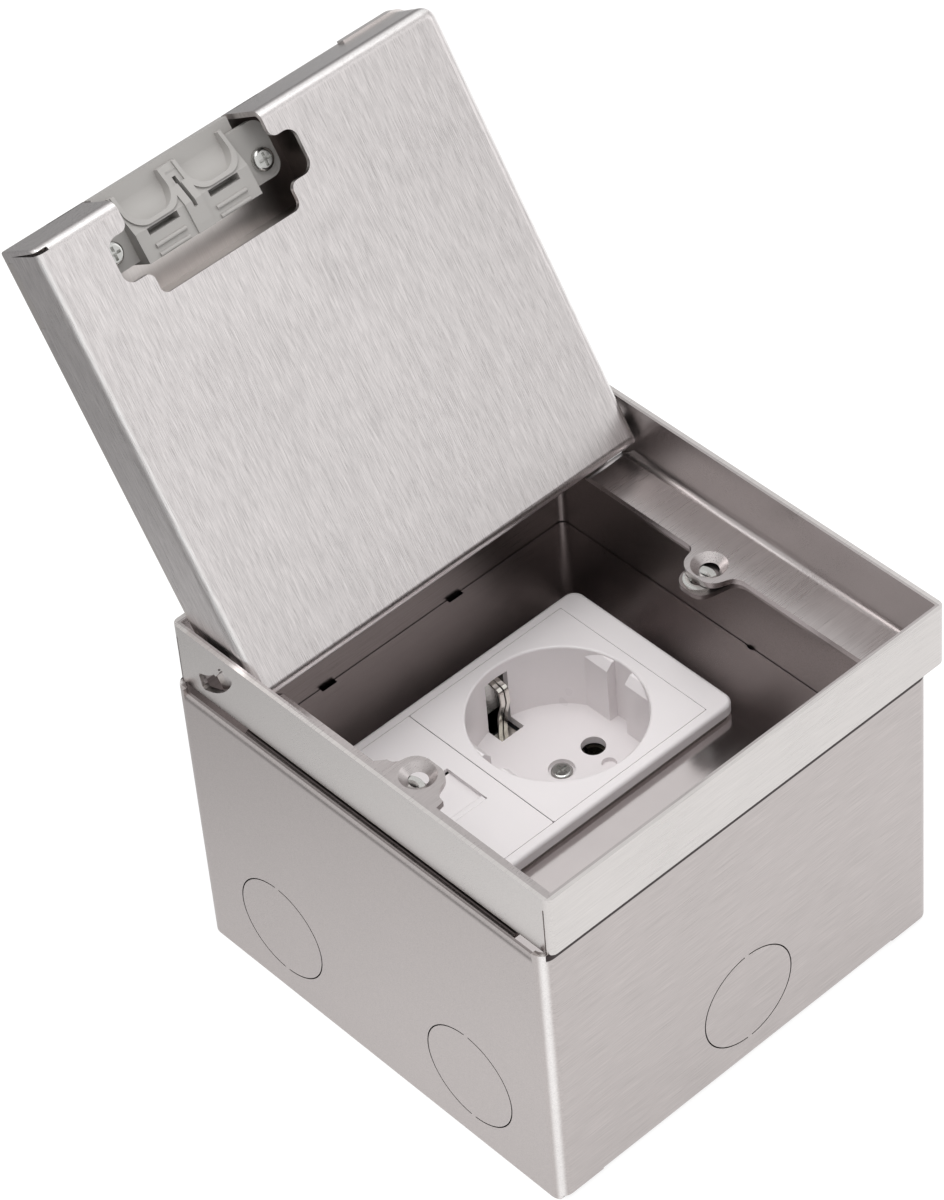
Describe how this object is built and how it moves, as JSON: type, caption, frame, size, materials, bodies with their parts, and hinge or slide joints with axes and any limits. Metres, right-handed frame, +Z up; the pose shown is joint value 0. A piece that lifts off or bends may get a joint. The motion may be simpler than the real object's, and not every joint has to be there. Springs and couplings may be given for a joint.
{
  "type": "recessed floor socket box",
  "caption": "Square stainless floor box with a folding lid and cable outlet over a mounting plate carrying an earthed socket and a shuttered data socket.",
  "frame": {"origin": "middle of the back box's underside", "axes": "+Z up out of the floor; +Y towards the hinge side; X along the hinge, with the frame stood 3 mm towards +X on the box"},
  "size_m": [0.1149, 0.1562, 0.173],
  "materials": {
    "stainless_body": "brushed stainless sheet, faint upright grain",
    "stainless_trim": "brushed stainless strip, grain along its length",
    "stainless_lid": "brushed stainless, grain from hinge to free edge",
    "stainless_plate": "smooth bright-rolled stainless",
    "zinc_steel": "zinc-plated steel",
    "spring_metal": "bright spring metal",
    "contact_brass": "plain brass",
    "gold_wire": "gold-plated wire",
    "white_moulding": "satin white moulding",
    "grey_moulding": "fine-textured light grey moulding",
    "dark_moulding": "matt black moulding"
  },
  "bodies": {
    "box": {"back_box": "stainless_body", "rivet_nuts": "zinc_steel", "earth_stud": "zinc_steel", "earth_washer": "zinc_steel", "earth_nut": "zinc_steel", "trim_frame": "stainless_trim", "mounting_plate": "stainless_plate", "support_frame": "zinc_steel", "frame_screws": "zinc_steel", "bezel": "white_moulding", "schuko_front": "white_moulding", "schuko_body": "dark_moulding", "schuko_screw": "zinc_steel", "earth_strap": "spring_metal", "pin_contacts": "contact_brass", "terminal_screws": "zinc_steel", "rj45_face": "white_moulding", "rj45_jack": "dark_moulding", "rj45_contacts": "gold_wire"},
    "lid": {"lid_pan": "stainless_lid", "lid_tray": "stainless_trim", "cable_outlet": "grey_moulding", "outlet_screws": "zinc_steel"},
    "shutter": {"rj45_shutter": "white_moulding"}
  },
  "joints": [
    {"name": "lid_hinge", "type": "hinge", "parent": "box", "child": "lid", "pos_m": [0.003, 0.043, 0.0871], "axis": [1, 0, 0], "range_deg": [0, 122.4]},
    {"name": "shutter_slide", "type": "slide", "parent": "box", "child": "shutter", "axis": [0, 1, 0], "range_m": [0, 0.0106]}
  ]
}
